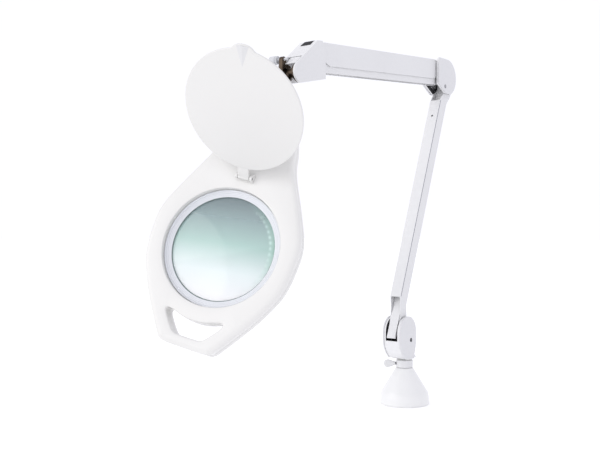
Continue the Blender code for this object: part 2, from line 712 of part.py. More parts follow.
def knuckle(parent):
    """Metal knuckle on the nose pin: disc, clamp block and the stem towards the head."""
    body = rod("knuckle", (0, -10.6, 0), (0, 10.6, 0), 11.0, 32)
    join(body, block("clamp", (2.0, -10.6, 3.0), (13.5, 3.0, 20.0), CUTTERS))
    slope = side_slab("slope", [[(-12.0, 8.0), (4.0, 30.0), (-30.0, 30.0), (-30.0, 8.0)]],
                      -20, 20, CUTTERS)
    cut(body, slope)
    cut(body, rod("bore", (0, -20, 0), (0, 20, 0), 3.3, 20, CUTTERS))
    cut(body, rod("tap", (8.0, -20, 15.5), (8.0, 1.0, 15.5), 2.0, 16, CUTTERS))
    pitch = math.radians(STEM_PITCH)
    way = Vector((math.cos(pitch), 0, -math.sin(pitch)))
    root = Vector((0, STEM_SIDE, 0)) + way * 6.0
    tip = Vector((0, STEM_SIDE, 0)) + way * (STEM_LENGTH - 9.6)
    join(body, rod("stem", root, tip, 5.5, 24, CUTTERS))
    cut(body, rod("bore", (0, -20, 0), (0, 20, 0), 3.3, 20, CUTTERS))
    return finish(body, steel("knuckle_metal", 0.33, 0.4), parent)


def tilt_knob(parent):
    """Clamp knob: knurled head, neck groove and screw."""
    body = rod("tilt_knob", (0, -19.0, 0), (0, -0.4, 0), 1.7, 16)
    join(body, rod("neck", (0, -17.5, 0), (0, -15.0, 0), 3.6, 24, CUTTERS))
    join(body, rod("head", (0, -29.0, 0), (0, -17.2, 0), 5.2, 32, CUTTERS))
    return finish(body, paint("knob_grey", (0.62, 0.63, 0.65), 0.35), parent)


def neck_clevis(parent):
    """Swivelling fork between the knuckle stem and the head's tongue (local Z up the stem)."""
    body = rod("neck_clevis", (0, 0, 6.2), (0, 0, 9.2), 9.0, 32)
    join(body, block("cheek", (4.6, -6.0, -5.0), (8.6, 6.0, 7.0), CUTTERS))
    join(body, block("cheek", (-8.6, -6.0, -5.0), (-4.6, 6.0, 7.0), CUTTERS))
    cut(body, rod("bore", (-20, 0, 0), (20, 0, 0), 2.3, 16, CUTTERS))
    return finish(body, steel("clevis_metal", 0.4, 0.35), parent)


def neck_pin(parent):
    pin = rod("neck_pin", (-9.0, 0, 0), (9.0, 0, 0), 2.0, 16)
    return finish(pin, steel("neck_pin_steel"), parent)


# ------------------------------------------------------------------------ head

def mirrored(side, steps):
    """A closed loop, counter-clockwise, from points on its +X side."""
    other = [(-x, y) for x, y in reversed(side)]
    return smooth_loop(side + other, steps)


def casing(name, low, high, opening, cavity_low, cavity_high):
    outline = mirrored(HEAD_SIDE, 3)
    slot = mirrored(SLOT_SIDE, 2)
    ring = circle((0, 0), opening, 48)
    body = slab(name, [outline, ring, slot], low, high)
    hollow = slab("hollow", [inset(outline, WALL), circle((0, 0), opening + WALL, 48),
                             inset(slot, -WALL)], cavity_low, cavity_high, CUTTERS)
    return cut(body, hollow)


def upper_casing(parent):
    """Face side of the head with the lens recess, handle slot and switch hole."""
    body = casing("head_upper_casing", SPLIT + GAP / 2, FACE, RECESS_RADIUS,
                  SPLIT - 5.0, FACE - WALL)
    cut(body, rod("switch_hole", (0, 122, 0), (0, 122, 20), 6.8, 24, CUTTERS))
    cut(body, block("neck_gap", (-4.8, 165.0, -10.0), (4.8, 200.0, FACE - WALL), CUTTERS))
    return finish(body, white("head_upper_white"), parent)


def lower_casing(parent):
    """Back of the head, open around the light ring, with screw holes."""
    body = casing("head_lower_casing", BACK, SPLIT - GAP / 2, SEAT_RADIUS,
                  BACK + WALL, SPLIT + 5.0)
    for x, y in CASE_SCREWS:
        cut(body, rod("hole", (x, y, BACK - 2), (x, y, BACK + 5), 1.9, 12, CUTTERS))
    cut(body, block("neck_gap", (-4.8, 165.0, BACK + WALL), (4.8, 200.0, 0.0), CUTTERS))
    return finish(body, white("head_lower_white"), parent)


def case_screw(parent, number, x, y):
    screw = rod(f"case_screw_{number}", (x, y, BACK + 1.6), (x, y, SPLIT + 5.0), 1.4, 12)
    join(screw, rod("head", (x, y, BACK + 0.5), (x, y, BACK + 1.8), 1.75, 12, CUTTERS))
    return finish(screw, steel(f"case_screw_{number}_steel", 0.4, 0.35), parent)


def lens(parent):
    """Biconvex glass, 5 inches across its ground edge."""
    sag = 5.4
    bow = (LENS_RADIUS ** 2 + sag ** 2) / (2 * sag)
    rim = 1.5
    steps = 5
    upper = []
    for index in range(steps + 1):
        radius = LENS_RADIUS * (1 - index / steps)
        upper.append((radius, math.sqrt(bow ** 2 - radius ** 2) - bow + sag + rim))
    lower = [(radius, -height) for radius, height in reversed(upper)]
    glass = turned("lens", upper + lower, 48)
    glass.data.transform(Matrix.Translation((0, 0, -4.0 * MM)))
    return finish(glass, paint("lens_glass", (0.9, 0.97, 0.94), 0.03, transmission=1.0), parent)


def ring_part(name, profile, material, parent, segments=48):
    return finish(turned(name, profile, segments), material, parent)


def lens_bezel(parent):
    """Stepped ring that holds the lens down in the recess."""
    return ring_part("lens_bezel", [
        (60.2, -0.9), (68.1, -0.9), (68.1, 3.2), (66.8, 3.2), (66.2, 1.6), (61.0, 0.8),
        (60.2, 0.2)], paint("bezel_clear", (0.85, 0.87, 0.9), 0.15), parent)


def led_ring(parent):
    """Ring circuit board with its light-emitting diodes soldered underneath."""
    board = turned("led_ring", [(63.4, -7.6), (69.6, -7.6), (69.6, -6.2), (63.4, -6.2)],
                   LED_COUNT * 2)
    for index in range(LED_COUNT):
        chip = block("led", (65.2, -1.3, -9.0), (67.8, 1.3, -7.4), CUTTERS)
        chip.data.transform(Matrix.Rotation(2 * math.pi * (index + 0.5) / LED_COUNT, 4, "Z"))
        join(board, chip)
    return finish(board, paint("led_board_white", (0.85, 0.88, 0.84), 0.5), parent)


def light_diffuser(parent):
    return ring_part("light_diffuser", [
        (62.0, -12.6), (69.8, -12.6), (69.8, -9.6), (69.0, -9.6), (69.0, -11.2), (62.8, -11.2),
        (62.8, -8.4), (62.0, -8.4)], paint("diffuser_opal", (0.95, 0.95, 0.95), 0.3), parent)


def driver_board(parent):
    board = block("driver_board", (-16.0, 100.0, -6.6), (16.0, 114.0, -5.2))
    join(board, block("choke", (-8.0, 102.0, -5.4), (4.0, 111.0, 3.0), CUTTERS))
    return finish(board, paint("board_green", (0.05, 0.3, 0.15), 0.5), parent)


def head_tongue(parent):
    """Steel tongue screwed inside the neck of the casing; the head hangs on it."""
    outline = arc((0, 0), 5.6, 0, 180, 10)
    outline += [(-5.6, -11.0), (-4.0, -14.0), (-4.0, -32.0), (4.0, -32.0), (4.0, -14.0),
                (5.6, -11.0)]
    tongue = slab("head_tongue", [outline, circle((0, 0), 2.3, 16)], -4.2, 4.2)
    tongue.data.transform(Matrix.Rotation(math.radians(90), 4, "Y"))
    tongue.data.transform(Matrix.Translation((0, HEAD_REACH * MM, HEAD_RISE * MM)))
    return finish(tongue, steel("tongue_steel", 0.5, 0.35), parent)


def power_switch(parent):
    """Round push switch; its origin is the joint's reference point."""
    button = turned("power_switch", [
        (0, -8.0), (5.0, -8.0), (5.0, -3.6), (6.4, -3.4), (6.4, 1.2), (5.6, 2.0), (0, 2.2)], 32)
    return finish(button, paint("switch_grey", (0.55, 0.56, 0.58), 0.35), parent)


def switch_body(parent):
    body = block("switch_body", (-8.0, 114.6, -10.2), (8.0, 129.4, 0.6))
    cut(body, rod("well", (0, 122, -1.6), (0, 122, 10), 5.4, 24, CUTTERS))
    return finish(body, paint("switch_black", (0.04, 0.04, 0.04), 0.5), parent)


def lid_bracket(parent):
    """Foot plate with two lugs on the face that carry the lid's hinge pin."""
    y, z = LID_AXIS
    base = FACE + GAP
    foot = block("lid_bracket", (-10.8, y - 4.0, base), (10.8, y + 7.0, base + 0.9))
    for side in (1, -1):
        low, high = sorted((side * 7.4, side * 10.4))
        join(foot, block("lug", (low, y - 2.6, base + 0.5), (high, y + 5.2, z - 0.4), CUTTERS))
        join(foot, rod("barrel", (low + 0.1, y, z), (high - 0.1, y, z), 2.9, 20, CUTTERS))
    cut(foot, rod("bore", (-12, y, z), (12, y, z), 1.5, 12, CUTTERS))
    return finish(foot, white("lid_bracket_white"), parent)


def lid_pin(parent):
    y, z = LID_AXIS
    pin = rod("lid_pin", (-10.2, y, z), (10.2, y, z), 1.2, 12)
    return finish(pin, steel("lid_pin_steel"), parent)


def lid(parent):
    """Round lid with a finger lip; modelled closed about its hinge, then swung open."""
    reach = LID_AXIS[0]
    low = -2.9
    high = 0.4
    disc = turned("lid", [(0, low + 1.6), (65.0, low + 1.6), (66.4, low), (LID_RADIUS, low),
                          (LID_RADIUS, high - 1.0), (LID_RADIUS - 1.4, high), (0, high)], 48)
    disc.data.transform(Matrix.Translation((0, -reach * MM, 0)))
    lip = [(0.0, -reach - 60.0), (-19.0, -reach - 64.0), (-12.0, -reach - 71.6),
           (-6.5, -reach - 74.6), (0.0, -reach - 75.6), (6.5, -reach - 74.6),
           (12.0, -reach - 71.6), (19.0, -reach - 64.0)]
    join(disc, slab("lip", [lip], low + 0.3, high - 0.3, CUTTERS))
    join(disc, block("tongue", (-6.7, -reach + 64.0, low + 0.5), (6.7, -1.0, high - 0.5), CUTTERS))
    join(disc, rod("barrel", (-7.0, 0, 0), (7.0, 0, 0), 3.0, 20, CUTTERS))
    cut(disc, rod("bore", (-9, 0, 0), (9, 0, 0), 1.5, 12, CUTTERS))
    return finish(disc, white("lid_white", 0.86, 0.28), parent)


# -------------------------------------------------------------------- assembly

def build_base():
    base_flange()
    cone_cover()
    clamp_collar()
    swivel_washer()
    wing_screw()


def build_yoke():
    swivel_pin()
    yoke_housing()
    yoke_cover("yoke_cover_near", 1)
    yoke_cover("yoke_cover_far", -1)
    cover_screw("yoke_screw_near", YOKE_SCREW, 1)
    cover_screw("yoke_screw_far", YOKE_SCREW, -1)
    cord_gland()
    pivot_pins("yoke", [("lower", LOWER_PIVOT)], [("lower", LOWER_LINK_PIVOT)])


def build_lower_arm():
    arm = guide("lower_arm_axis", None, (LOWER_PIVOT[0], 0, LOWER_PIVOT[1]), (0, -LOWER_LEAN, 0))
    lower_outer_channel(arm)
    link = guide("lower_link_axis", None, (LOWER_LINK_PIVOT[0], 0, LOWER_LINK_PIVOT[1]),
                 (0, -LOWER_LEAN, 0))
    lower_inner_channel(link)
    spring("lower_spring", link, (LOWER_SPRING_LINE, LOWER_SPRING[0]),
           (LOWER_SPRING_LINE, LOWER_SPRING[1]), 12)


def build_elbow():
    elbow_frame()
    elbow_cover("elbow_cover_near", 1)
    elbow_cover("elbow_cover_far", -1)
    cover_screw("elbow_screw_near", ELBOW_SCREW, 1)
    cover_screw("elbow_screw_far", ELBOW_SCREW, -1)
    pivot_pins("elbow", [("upper", UPPER_PIVOT), ("lower", LOWER_END)],
               [("upper", UPPER_LINK_PIVOT), ("lower", LOWER_LINK_END)])


def build_upper_arm():
    arm = guide("upper_arm_axis", None, (UPPER_PIVOT[0], 0, UPPER_PIVOT[1]), (0, UPPER_FALL, 0))
    upper_outer_channel(arm)
    link = guide("upper_link_axis", None, (UPPER_LINK_PIVOT[0], 0, UPPER_LINK_PIVOT[1]),
                 (0, UPPER_FALL, 0))
    upper_inner_channel(link)
    spring("upper_spring", link, (UPPER_SPRING[0], UPPER_SPRING_LINE),
           (UPPER_SPRING[1], UPPER_SPRING_LINE), 12)


def build_neck():
    shoulder_housing()
    pivot_pins("shoulder", [("upper", UPPER_END)], [("upper", UPPER_LINK_END)], SHOULDER_OUT - 1.3)
    nose_pin()
    nose = guide("knuckle_axis", None, (NOSE[0], 0, NOSE[1]))
    knuckle(nose)
    tilt_knob(guide("knob_axis", nose, (8.0, 0, 15.5)))
    pitch = math.radians(STEM_PITCH)
    pivot = (STEM_LENGTH * math.cos(pitch), STEM_SIDE, -STEM_LENGTH * math.sin(pitch))
    stem = guide("stem_axis", nose, pivot, (0, STEM_PITCH - 90.0, 0))
    fork = guide("neck_axis", stem, (0, 0, 0), (0, 0, 90.0 + NECK_TURN))
    neck_clevis(fork)
    neck_pin(fork)
    return guide("head_axis", fork, (0, 0, 0), (90.0 + HEAD_TILT, 0, 0))


def build_head(pivot):
    head = guide("head_centre", pivot, (0, -HEAD_REACH, -HEAD_RISE))
    head_tongue(head)
    upper_casing(head)
    lower_casing(head)
    for number, (x, y) in enumerate(CASE_SCREWS, 1):
        case_screw(head, number, x, y)
    lens(head)
    lens_bezel(head)
    led_ring(head)
    light_diffuser(head)
    driver_board(head)
    switch_body(head)
    power_switch(guide("switch_axis", head, (0, 122.0, FACE)))
    lid_bracket(head)
    lid_pin(head)
    lid(guide("lid_axis", head, (0, LID_AXIS[0], LID_AXIS[1]), (-LID_OPEN, 0, 0)))


build_base()
build_yoke()
build_lower_arm()
build_elbow()
build_upper_arm()
build_head(build_neck())
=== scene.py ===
"""Magnifying lamp, dressed: smooth shells, lens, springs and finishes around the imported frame."""

import json
import math

import bmesh
import bpy
from mathutils import Matrix, Vector


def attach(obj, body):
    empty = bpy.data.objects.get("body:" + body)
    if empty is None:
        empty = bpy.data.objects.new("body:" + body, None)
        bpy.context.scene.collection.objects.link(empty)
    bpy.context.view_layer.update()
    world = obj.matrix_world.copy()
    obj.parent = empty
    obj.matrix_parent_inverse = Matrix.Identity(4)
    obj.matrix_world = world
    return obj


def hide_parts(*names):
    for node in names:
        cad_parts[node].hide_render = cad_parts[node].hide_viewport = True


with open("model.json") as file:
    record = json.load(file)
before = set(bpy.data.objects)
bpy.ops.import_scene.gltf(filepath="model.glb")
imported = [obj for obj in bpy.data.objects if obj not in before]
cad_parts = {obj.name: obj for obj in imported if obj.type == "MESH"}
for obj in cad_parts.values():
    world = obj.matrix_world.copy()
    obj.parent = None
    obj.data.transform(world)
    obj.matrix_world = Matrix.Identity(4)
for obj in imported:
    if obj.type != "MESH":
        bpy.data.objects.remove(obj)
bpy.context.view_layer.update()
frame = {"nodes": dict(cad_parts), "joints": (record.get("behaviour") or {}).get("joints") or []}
joints = {joint["name"]: joint for joint in frame["joints"]}
nodes = frame["nodes"]

# Lengths below are in millimetres. Blender's own values are in metres.
MM = 0.001

# Head: x across, y from the lens centre towards the neck, z out of the side that the lid covers.
# A hole is given as x, y, radius and rounding of its edge.
TILT_REACH = 199.0
TILT_DEPTH = 2.3
FACE = 9.0
BACK = -13.0
SEAM = -2.0
SEAM_GAP = 0.15
HEAD_SIDE = [(22.5, -116.4), (31.5, -114.4), (38.0, -107.5), (59.5, -77.0), (72.5, -55.5),
             (84.0, -30.0), (88.0, 0.0), (86.5, 28.0), (73.0, 60.0), (51.0, 104.0),
             (44.0, 130.0), (34.0, 156.0), (23.0, 172.0), (9.0, 180.0)]
HANDLE_SLOT_SIDE = [(9.0, -105.0), (16.0, -104.2), (22.0, -99.8), (33.2, -86.0),
                    (34.0, -80.6), (27.0, -81.0), (10.0, -85.8)]
CASE_SCREWS = [(x, y, 1.9, 0.2) for x, y in
               ((-30.0, 140.0), (30.0, 140.0), (-66.0, -53.0), (66.0, -53.0))]
SWITCH_HOLE = (0.0, 122.0, 6.8, 0.5)
FACE_OPENING = 68.5
BACK_OPENING = 70.2

# Lens and its ring
LENS_RADIUS = 62.5
LENS_SAG = 5.4
LENS_RIM = 1.5
LENS_MIDDLE = -4.0
LENS_SIGHT = 60.5
RING_IN = 60.2
RING_OUT = 68.1
RING_FOOT = -0.9

# Lid: x along its hinge, y away from the disc, z out of the head's face when closed
LID_OPEN = 131.0
LID_CENTRE = -82.0
LID_RADIUS = 70.0
LID_LOW = -2.9
LID_HIGH = 0.4
LID_LIP_REACH = 5.2
LID_LIP_HALF = 14.0

# Springs
SPRING_WIRE = 0.6
SPRING_RADIUS = 3.6
SPRING_HOOK = 9.0
SPRING_BEND = 2.6
SPRING_TURNS = 62

# Shoulder wall: ends as (x, z) of the world, and sides as y
SHOULDER_SLOT_ENDS = ((218.5, 468.95), (227.2, 463.0))
SHOULDER_SLOT_SIDES = (-7.4, 7.4)
SHOULDER_LIP_ENDS = ((249.0, 445.6), (260.2, 436.6))
SHOULDER_LIP_SIDES = (-4.4, 10.8)

# Painted shade line on the lower arm, dark strips for the shadow in the gaps: how far in front of
# the pivots its edges lie, how far from the middle plane, and how far short of the lower and the
# upper pivot it ends
LINE_FRONT = 18.9
LINE_REAR = 17.7
LINE_IN = 8.0
LINE_OUT = 8.28
LINE_LOW = 36.0
LINE_HIGH = 32.0

# CAD edges sharper than this many degrees are rounded
EDGE_ANGLE = 32.0

# The cheeks of the yoke and the elbow face each other nearer than this to the middle plane; these
# facing walls get painted shade
CHEEK_INSIDE = 9.4

# Camera and light: angles in degrees, places in metres
FOCAL_LENGTH = 51.42
HEADING = 38.0
DISTANCE_M = 1.2
LEFT_M = 0.1463
HEIGHT_M = 0.249
SUN_PLACE = (2.0, -0.85, 0.55)
SUN_STRENGTH = 0.95
SUN_SPREAD = 56.0
SUN_COLOUR = (1.0, 0.985, 0.93)
SKY_COLOUR = (0.94, 0.94, 1.0, 1.0)
SKY_STRENGTH = 1.07
FLOOR_GLOW = 0.12


# ------------------------------------------------------------------- local frames

def axis_of(name):
    return Vector(joints[name]["axis"]).normalized()


def place_of(name):
    return Vector(joints[name]["pos_m"])


def basis(x, y, z, origin):
    matrix = Matrix((x, y, z)).transposed().to_4x4()
    matrix.translation = origin
    return matrix


def crosswise(name):
    """Frame at a joint: local x and y lie in the lamp's side view, local z points to -Y."""
    return Matrix.Translation(place_of(name)) @ Matrix.Rotation(math.pi / 2, 4, "X")


ACROSS = axis_of("head_tilt")
NORMAL = -axis_of("switch_press")
ALONG = NORMAL.cross(ACROSS)
HEAD = basis(ACROSS, ALONG, NORMAL,
             place_of("head_tilt") - (ALONG * TILT_REACH + NORMAL * TILT_DEPTH) * MM)
LID = (basis(ACROSS, ALONG, NORMAL, place_of("lid_hinge"))
       @ Matrix.Rotation(math.radians(-LID_OPEN), 4, "X"))


# ---------------------------------------------------------------------- materials

class Nodes:
    """Short names for building one material's node tree."""

    def __init__(self, name):
        self.material = bpy.data.materials.new(name)
        self.material.use_nodes = True
        self.tree = self.material.node_tree
        self.shader = self.tree.nodes["Principled BSDF"]
        self.coords = self.tree.nodes.new("ShaderNodeTexCoord").outputs["Object"]

    def add(self, kind, **values):
        made = self.tree.nodes.new(kind)
        for key, value in values.items():
            if hasattr(made, key):
                setattr(made, key, value)
            else:
                made.inputs[key].default_value = value
        return made

    def link(self, source, target):
        self.tree.links.new(source, target)

    def feed(self, socket, source):
        """Drive one of the shader's sockets."""
        self.link(source, self.shader.inputs[socket])

    def fix(self, socket, value):
        """Set one of the shader's sockets to an even value."""
        self.shader.inputs[socket].default_value = value

    def noise(self, scale, detail=3.0, stretch=None):
        texture = self.add("ShaderNodeTexNoise", Scale=scale, Detail=detail)
        source = self.coords
        if stretch:
            mapping = self.add("ShaderNodeMapping")
            mapping.inputs["Scale"].default_value = stretch
            self.link(source, mapping.inputs["Vector"])
            source = mapping.outputs["Vector"]
        self.link(source, texture.inputs["Vector"])
        return texture.outputs["Fac"]

    def ramp(self, source, stops):
        made = self.add("ShaderNodeValToRGB")
        while len(made.color_ramp.elements) < len(stops):
            made.color_ramp.elements.new(0.5)
        for element, (position, colour) in zip(made.color_ramp.elements, stops):
            element.position = position
            element.color = (*colour, 1.0)
        self.link(source, made.inputs["Fac"])
        return made.outputs["Color"]

    def span(self, source, low, high):
        """Stretch the middle of a noise to run from low to high."""
        made = self.add("ShaderNodeMapRange")
        made.inputs["From Min"].default_value = 0.3
        made.inputs["From Max"].default_value = 0.7
        made.inputs["To Min"].default_value = low
        made.inputs["To Max"].default_value = high
        self.link(source, made.inputs["Value"])
        return made.outputs["Result"]

    def math(self, operation, first, second=None):
        made = self.add("ShaderNodeMath", operation=operation)
        for socket, value in zip(made.inputs, (first, second)):
            if value is None:
                continue
            if isinstance(value, (int, float)):
                socket.default_value = value
            else:
                self.link(value, socket)
        return made.outputs["Value"]

    def times(self, first, second):
        return self.math("MULTIPLY", first, second)

    def split(self, source):
        """Separate a vector and return its sockets."""
        made = self.add("ShaderNodeSeparateXYZ")
        self.link(source, made.inputs[0])
        return made.outputs

    def clamped(self, source):
        made = self.add("ShaderNodeClamp")
        self.link(source, made.inputs["Value"])
        return made.outputs["Result"]

    def blend(self, factor, base, colour):
        made = self.add("ShaderNodeMix", data_type="RGBA")
        self.link(factor, made.inputs[0])
        self.link(base, made.inputs[6])
        made.inputs[7].default_value = (*colour, 1.0)
        return made.outputs[2]

    def bump(self, source, distance):
        made = self.add("ShaderNodeBump", Strength=1.0, Distance=distance)
        self.link(source, made.inputs["Height"])
        self.feed("Normal", made.outputs["Normal"])


def shade(colour, factor):
    return tuple(min(1.0, c * factor) for c in colour)


def moulded(name, colour, rough=0.32):
    """Satin moulded plastic: faint cloudiness, fine grain and a roughness that varies a little."""
    made = Nodes(name)
    tones = [(0.3, shade(colour, 0.984)), (0.7, shade(colour, 1.008))]
    made.feed("Base Color", made.ramp(made.noise(9.0, 0.0), tones))
    made.feed("Roughness", made.span(made.noise(40.0, 1.0), rough * 0.94, rough * 1.08))
    made.bump(made.noise(2600.0, 2.0), 0.000004)
    made.fix("Coat Weight", 0.15)
    made.fix("Coat Roughness", 0.12)
    return made.material


def powder(name, colour, inside=None):
    """Powder-coated sheet with an orange-peel ripple.

    Cheek walls that face each other, nearer the middle plane than inside, get painted shade:
    near-black colour for the shade between the cheeks.
    """
    made = Nodes(name)
    tone = made.ramp(made.noise(9.0), [(0.35, shade(colour, 0.975)), (0.65, colour)])
    if inside:
        geometry = made.add("ShaderNodeNewGeometry")
        place = made.math("ABSOLUTE", made.split(made.coords)["Y"])
        facing = made.math("ABSOLUTE", made.split(geometry.outputs["True Normal"])["Y"])
        # painted shade: facing cheek walls turn near-black for the shade inside the yoke and the
        # elbow
        wall = made.times(made.math("LESS_THAN", place, inside * MM),
                          made.math("GREATER_THAN", facing, 0.9))
        tone = made.blend(wall, tone, (0.02, 0.02, 0.022))
    made.feed("Base Color", tone)
    made.feed("Roughness", made.span(made.noise(90.0), 0.306, 0.432))
    made.bump(made.noise(750.0, 2.0), 0.00003)
    return made.material


def metal(name, colour, rough=0.3):
    """Machined metal with fine tool marks drawn out along one axis."""
    stretch = (40.0, 900.0, 40.0)
    made = Nodes(name)
    tones = [(0.3, shade(colour, 0.72)), (0.7, colour)]
    made.feed("Base Color", made.ramp(made.noise(1.0, 4.0, stretch), tones))
    made.feed("Roughness", made.span(made.noise(1.0, 3.0, stretch), rough * 0.8, rough * 1.3))
    made.fix("Metallic", 1.0)
    made.bump(made.noise(1.0, 3.0, stretch), 0.00001)
    return made.material


def rubber(name, colour):
    made = Nodes(name)
    made.feed("Base Color", made.ramp(made.noise(300.0), [(0.3, colour), (0.7, shade(colour, 1.8))]))
    made.fix("Roughness", 0.75)
    made.fix("Specular IOR Level", 0.1)
    made.bump(made.noise(1800.0), 0.00003)
    return made.material


def circuit_board(name):
    """Pale solder mask."""
    made = Nodes(name)
    tones = [(0.4, (0.80, 0.86, 0.80)), (0.6, (0.88, 0.92, 0.87))]
    made.feed("Base Color", made.ramp(made.noise(220.0), tones))
    made.fix("Roughness", 0.45)
    made.bump(made.noise(900.0), 0.00002)
    return made.material


def lens_polar(made):
    """Places along and across the head and the distance from the lens centre, in lens radii."""
    shift = made.add("ShaderNodeVectorMath", operation="SUBTRACT")
    shift.inputs[1].default_value = HEAD.translation
    made.link(made.coords, shift.inputs[0])
    places = []
    for direction in (ALONG, ACROSS):
        dot = made.add("ShaderNodeVectorMath", operation="DOT_PRODUCT")
        dot.inputs[1].default_value = direction / (LENS_SIGHT * MM)
        made.link(shift.outputs["Vector"], dot.inputs[0])
        places.append(dot.outputs["Value"])
    up, side = places
    radius = made.math("SQRT", made.math("ADD", made.times(up, up), made.times(side, side)))
    return up, side, radius


def lens_glass(name):
    """Glass with painted reflections: white running to dark grey-green towards the neck, painted
    glints of the diodes in an arc on one side and a painted green glow on the rim there.
    """
    made = Nodes(name)
    up, side, radius = lens_polar(made)
    tilt = made.math("ADD", made.times(up, 0.5), made.times(side, -0.06))
    # painted reflection and shade: white across the lower lens, dark grey-green towards the neck
    painted_reflections = made.ramp(made.math("ADD", tilt, 0.5), [
        (0.05, (1.0, 1.0, 1.0)), (0.28, (0.90, 0.97, 0.96)), (0.55, (0.50, 0.68, 0.63)),
        (0.80, (0.36, 0.46, 0.46)), (0.97, (0.26, 0.32, 0.33))])

    # painted glints: pale green dots in an arc near the edge, reflections of the diodes
    bearing = made.math("ARCTAN2", up, side)
    off_arc = made.math("ABSOLUTE", made.math("SUBTRACT", bearing, 0.36))
    arc = made.math("SUBTRACT", 1.15, made.times(off_arc, 1.25))
    off_band = made.math("ABSOLUTE", made.math("SUBTRACT", radius, 0.905))
    band = made.math("SUBTRACT", 1.0, made.times(off_band, 26.0))
    beads = made.math("ADD", made.times(made.math("SINE", made.times(bearing, 52.0)), 0.4), 0.6)
    painted_glints = made.times(made.times(made.clamped(band), made.clamped(arc)), beads)
    painted_reflections = made.blend(painted_glints, painted_reflections, (0.80, 1.0, 0.92))

    # painted green glow on the rim, on the same side as the glints
    rim = made.clamped(made.times(made.math("SUBTRACT", radius, 0.88), 9.0))
    rim = made.times(rim, made.clamped(made.math("ADD", arc, 0.2)))
    painted_reflections = made.blend(made.times(rim, 0.55), painted_reflections, (0.42, 0.66, 0.54))

    made.feed("Base Color", painted_reflections)
    made.fix("Transmission Weight", 0.65)
    made.fix("Roughness", 0.04)
    made.fix("IOR", 1.52)
    made.fix("Specular IOR Level", 0.2)
    made.bump(made.noise(25.0, 1.0), 0.00002)
    return made.material


def clear_plastic(name, colour, transmission):
    """Clear or opal plastic ring with turned circles showing in its surface."""
    made = Nodes(name)
    radius = lens_polar(made)[2]
    rings = made.math("SINE", made.times(radius, 230.0))
    height = made.math("ADD", made.times(rings, 0.5), 0.5)
    made.feed("Base Color", made.ramp(height, [(0.1, shade(colour, 0.86)), (0.9, colour)]))
    made.feed("Roughness", made.span(made.noise(50.0), 0.1, 0.2))
    made.fix("Transmission Weight", transmission)
    made.fix("IOR", 1.49)
    made.bump(rings, 0.00006)
    return made.material


white_plastic = moulded("white_plastic", (0.71, 0.71, 0.71))
cone_plastic = moulded("cone_plastic", (0.78, 0.78, 0.775))
head_plastic = moulded("head_plastic", (0.715, 0.71, 0.69))
cover_plastic = moulded("cover_plastic", (0.65, 0.65, 0.66), 0.3)
lid_plastic = moulded("lid_plastic", (0.70, 0.695, 0.675), 0.3)
# painted shade: a darker copy of the lid plastic for the shade in the lip's V-notch
crease_painted_shade = moulded("crease_painted_shade", (0.65, 0.65, 0.65), 0.3)
grey_plastic = moulded("grey_plastic", (0.58, 0.59, 0.61), 0.35)
black_plastic = moulded("black_plastic", (0.035, 0.035, 0.038), 0.45)
nylon = moulded("nylon", (0.72, 0.72, 0.7), 0.5)
# painted shade: dark grey for the shadow in the gaps along the lower arm
painted_gap_shade = moulded("painted_gap_shade", (0.19, 0.20, 0.23), 0.5)
# painted shade: dark grey-green for the shadow in the gaps around the lens glass
gap_painted_shade_green = moulded("lens_gap_painted_shade", (0.10, 0.15, 0.14), 0.3)
green_board = moulded("driver_board_mask", (0.03, 0.22, 0.10), 0.45)
white_coat = powder("white_powder_coat", (0.70, 0.70, 0.705))
# yoke and elbow coat with painted shade, near-black on the facing cheek walls
coat_painted_shade_inside = powder("white_coat_painted_shade_inside", (0.76, 0.76, 0.765), CHEEK_INSIDE)
dark_metal = metal("dark_metal", (0.105, 0.08, 0.06), 0.38)
steel = metal("plated_steel", (0.60, 0.60, 0.61), 0.28)
spring_steel = metal("spring_steel", (0.42, 0.42, 0.43))
screw_steel = metal("screw_steel", (0.22, 0.22, 0.23), 0.36)
black_screw = metal("blackened_screw", (0.07, 0.07, 0.075), 0.4)
bright_screw = metal("bright_screw", (0.42, 0.42, 0.44), 0.4)
opal = clear_plastic("opal_diffuser", (0.93, 0.94, 0.95), 0.2)
clear = clear_plastic("clear_ring", (0.86, 0.88, 0.915), 0.12)
# lens glass with painted reflections, glints and rim glow
glass = lens_glass("lens_glass")
led_board = circuit_board("led_board")
# black rubber for the cord gland, also used as painted shade in the shoulder slot
gland_rubber = rubber("gland_rubber", (0.03, 0.03, 0.032))


# ------------------------------------------------------------------- mesh helpers

def add_object(name, data, body, replaced):
    made = bpy.data.objects.new(name, data)
    bpy.context.scene.collection.objects.link(made)
    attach(made, body)
    if replaced:
        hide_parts(replaced)


def new_piece(name, work, matrix, material, body, replaced=None, sharp=30.0):
    """Make an object from a bmesh given in millimetres in a local frame."""
    bmesh.ops.remove_doubles(work, verts=work.verts, dist=0.002)
    bmesh.ops.scale(work, vec=(MM, MM, MM), verts=work.verts)
    bmesh.ops.transform(work, matrix=matrix, verts=work.verts)
    bmesh.ops.recalc_face_normals(work, faces=work.faces)
    mesh = bpy.data.meshes.new(name)
    work.to_mesh(mesh)
    work.free()
    mesh.materials.append(material)
    mesh.shade_smooth()
    mesh.set_sharp_from_angle(angle=math.radians(sharp))
    add_object(name, mesh, body, replaced)


def vectors(*points):
    return [Vector(point) for point in points]


def loop_verts(work, points, height):
    return [work.verts.new((x, y, height)) for x, y in points]


def bridge(work, first, second):
    for index in range(len(first)):
        after = (index + 1) % len(first)
        work.faces.new((first[index], first[after], second[after], second[index]))


def stack(work, rings):
    """Join vertex rings of equal length by quads."""
    for first, second in zip(rings, rings[1:]):
        bridge(work, first, second)


def cap(work, rings):
    """Close a stack at both ends."""
    work.faces.new(rings[0])
    work.faces.new(rings[-1])


